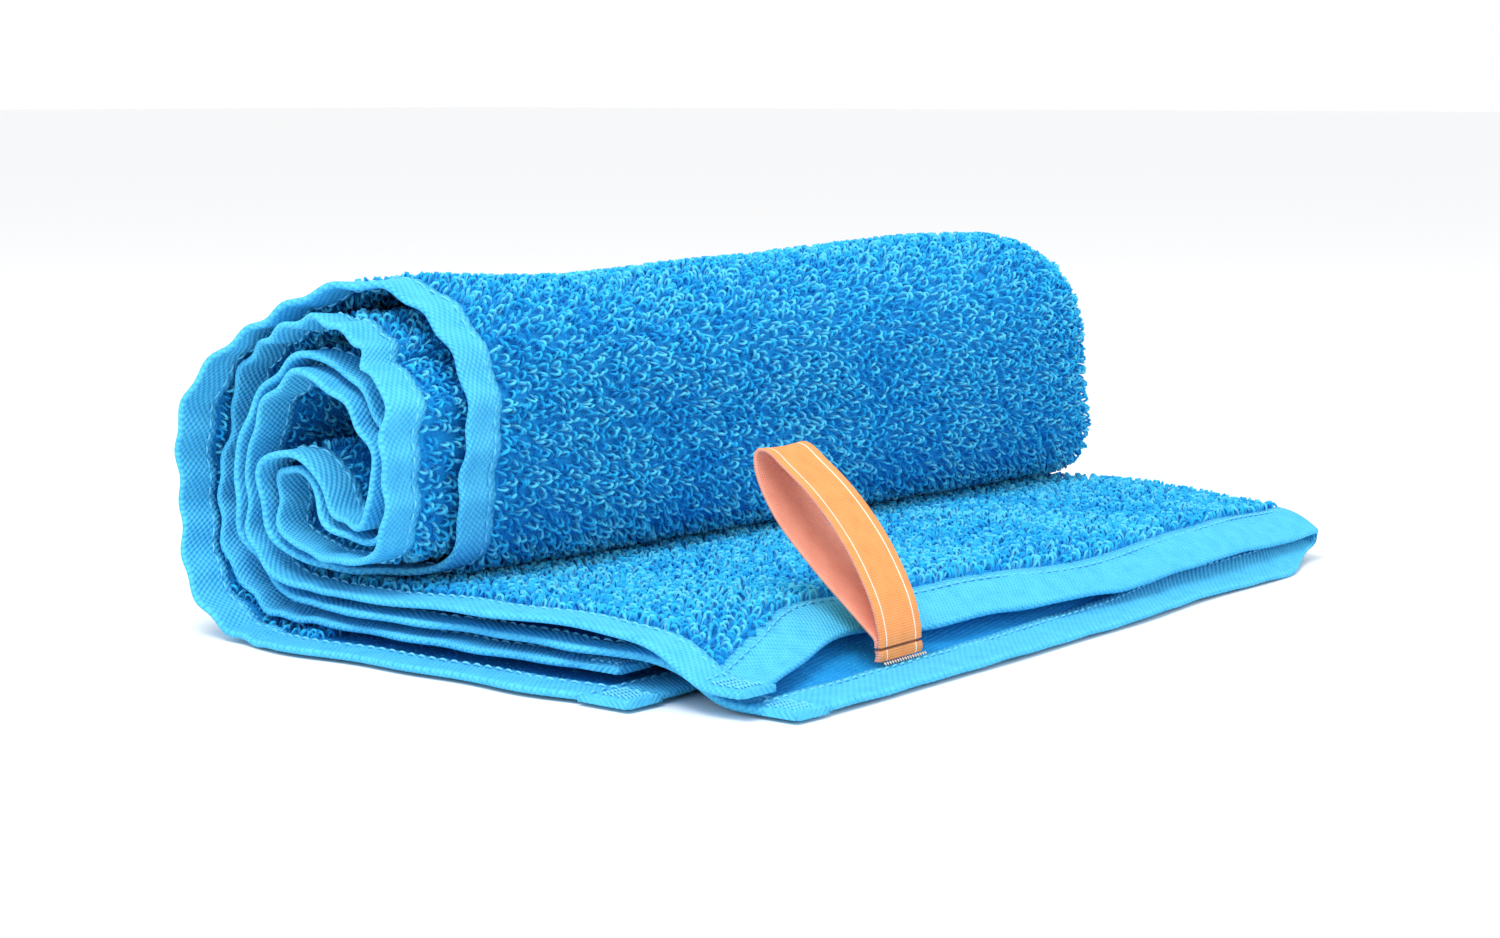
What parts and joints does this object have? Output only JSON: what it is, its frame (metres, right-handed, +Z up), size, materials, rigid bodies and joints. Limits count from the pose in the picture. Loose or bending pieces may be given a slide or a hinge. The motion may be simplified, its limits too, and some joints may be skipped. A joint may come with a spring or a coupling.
{
  "type": "rolled bath towel",
  "caption": "Quick dry terry towel, folded in half and rolled up with its end left out as a tail, with hemmed edges and a ribbon hanging loop.",
  "frame": {"origin": "on the floor, under the middle of the towel's bounding box", "axes": "+X along the roll from the hemmed end to the folded end, -Y towards the tail's end, +Z up"},
  "size_m": [0.25, 0.1616, 0.0745],
  "materials": {
    "terry": "looped pile",
    "hem": "plain weave",
    "thread": "thread",
    "ribbon": "woven ribbon"
  },
  "bodies": {
    "towel": {"terry_floor_flap": "terry", "terry_outer_turn": "terry", "terry_core": "terry", "terry_inner_turn": "terry", "terry_top_flap": "terry", "side_hem_1": "hem", "side_hem_2": "hem", "end_hem_floor_lower": "hem", "end_hem_floor_upper": "hem", "end_hem_top_lower": "hem", "end_hem_top_upper": "hem", "side_stitch_1": "thread", "side_stitch_2": "thread", "end_stitch_floor": "thread", "end_stitch_lower": "thread", "end_stitch_upper": "thread", "corner_tack_floor": "thread", "corner_tack_lower": "thread", "corner_tack_upper": "thread", "loop_bar_tack": "thread", "loop_root": "ribbon"},
    "loop": {"hang_loop": "ribbon"}
  },
  "joints": [
    {"name": "hang_loop_swing", "type": "hinge", "parent": "towel", "child": "loop", "pos_m": [-0.071, -0.06378, 0.007], "axis": [0.9972, 0.0748, 0], "range_deg": [-18, 100], "stiffness_Nm_per_rad": 0.002}
  ]
}
